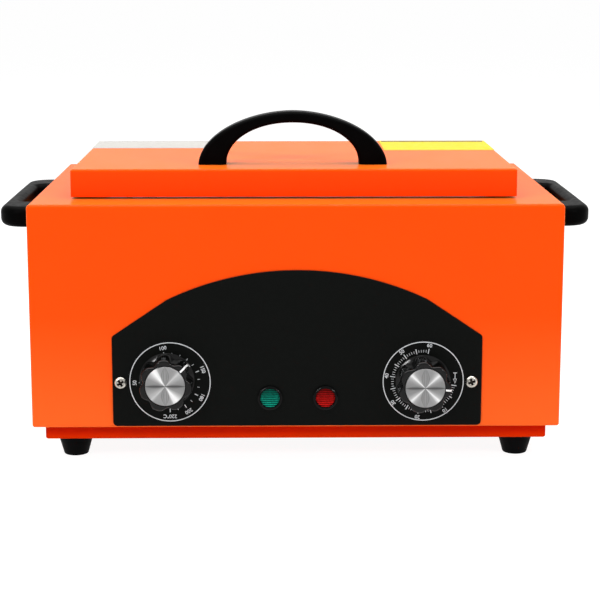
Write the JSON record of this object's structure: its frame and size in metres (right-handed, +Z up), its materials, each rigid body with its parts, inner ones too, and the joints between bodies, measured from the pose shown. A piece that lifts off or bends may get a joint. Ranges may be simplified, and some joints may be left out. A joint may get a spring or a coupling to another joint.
{
  "type": "dry heat sterilizer",
  "caption": "Bench-top dry heat sterilizer with a hinged lid over a stainless tank, a lift-out tray, carrying handles, pilot lamps and control knobs.",
  "frame": {"origin": "middle of the whole object's box, on the surface that the feet stand on", "axes": "+X to the right seen from the front, +Y to the rear, +Z up"},
  "size_m": [0.3994, 0.2658, 0.2304],
  "materials": {
    "orange_paint": "gloss powder coat",
    "panel_black": "satin printed face",
    "knob_black": "polished moulding",
    "handle_black": "satin moulding",
    "inlet_black": "matte moulding",
    "lamp_black": "gloss moulding",
    "lens_green": "prismatic lens",
    "lens_red": "prismatic lens",
    "foot_rubber": "matte",
    "plated_steel": "nickel plated",
    "spun_aluminium": "spun face",
    "stainless": "brushed",
    "copper_tube": "drawn tube",
    "regulator_body": "moulded",
    "mineral_wool": "felted",
    "silicone": "matte",
    "wire_brown": "sleeved wire",
    "wire_blue": "sleeved wire"
  },
  "bodies": {
    "root": {"case_shell": "orange_paint", "base_pan": "orange_paint", "base_screw_front_left": "plated_steel", "base_screw_front_right": "plated_steel", "base_screw_rear_left": "plated_steel", "base_screw_rear_right": "plated_steel", "foot_front_left": "foot_rubber", "foot_front_right": "foot_rubber", "foot_rear_left": "foot_rubber", "foot_rear_right": "foot_rubber", "foot_screw_front_left": "plated_steel", "foot_screw_front_right": "plated_steel", "foot_screw_rear_left": "plated_steel", "foot_screw_rear_right": "plated_steel", "front_panel": "panel_black", "panel_screw_left": "plated_steel", "panel_screw_right": "plated_steel", "lamp_housing_left": "lamp_black", "lamp_housing_right": "lamp_black", "lamp_lens_left": "lens_green", "lamp_lens_right": "lens_red", "thermostat_body": "regulator_body", "timer_body": "regulator_body", "thermostat_bulb": "copper_tube", "side_handle_left": "handle_black", "side_handle_right": "handle_black", "side_handle_screw_front_left": "plated_steel", "side_handle_screw_rear_left": "plated_steel", "side_handle_screw_front_right": "plated_steel", "side_handle_screw_rear_right": "plated_steel", "chamber_tank": "stainless", "tank_insulation": "mineral_wool", "heating_element": "stainless", "hinge_leaf_fixed": "plated_steel", "hinge_pin": "plated_steel", "mains_inlet": "inlet_black", "inlet_screw_left": "plated_steel", "inlet_screw_right": "plated_steel", "wire_inlet_to_thermostat": "wire_brown", "wire_thermostat_to_timer": "wire_brown", "wire_timer_to_heater": "wire_brown", "wire_heater_to_inlet": "wire_blue"},
    "lid": {"lid_shell": "orange_paint", "lid_liner": "stainless", "lid_insulation": "mineral_wool", "lid_seal": "silicone", "lid_handle": "handle_black", "lid_handle_screw_left": "plated_steel", "lid_handle_screw_right": "plated_steel", "hinge_leaf_lid": "plated_steel"},
    "temperature_control": {"temperature_knob": "knob_black", "temperature_knob_cap": "spun_aluminium", "thermostat_shaft": "plated_steel"},
    "timer_control": {"timer_knob": "knob_black", "timer_knob_cap": "spun_aluminium", "timer_shaft": "plated_steel"},
    "tray": {"instrument_tray": "stainless"},
    "bail_left": {"tray_bail_left": "stainless"},
    "bail_right": {"tray_bail_right": "stainless"}
  },
  "joints": [
    {"name": "lid_hinge", "type": "hinge", "parent": "root", "child": "lid", "pos_m": [0, 0.10905, 0.1778], "axis": [-1, 0, 0], "range_deg": [0, 100]},
    {"name": "temperature_turn", "type": "hinge", "parent": "root", "child": "temperature_control", "pos_m": [-0.0856, -0.11285, 0.0582], "axis": [0, 1, 0], "range_deg": [-137.4, 134.2]},
    {"name": "timer_turn", "type": "hinge", "parent": "root", "child": "timer_control", "pos_m": [0.0841, -0.11285, 0.0564], "axis": [0, 1, 0], "range_deg": [0, 271.4], "stiffness_Nm_per_rad": 0.003},
    {"name": "tray_lift", "type": "slide", "parent": "root", "child": "tray", "axis": [0, 0, 1], "range_m": [0, 0.018]},
    {"name": "bail_left_turn", "type": "hinge", "parent": "tray", "child": "bail_left", "pos_m": [-0.1205, 0.01125, 0.1284], "axis": [0, -1, 0], "range_deg": [0, 90]},
    {"name": "bail_right_turn", "type": "hinge", "parent": "tray", "child": "bail_right", "pos_m": [0.1205, 0.01125, 0.1284], "axis": [0, 1, 0], "range_deg": [0, 90]}
  ]
}
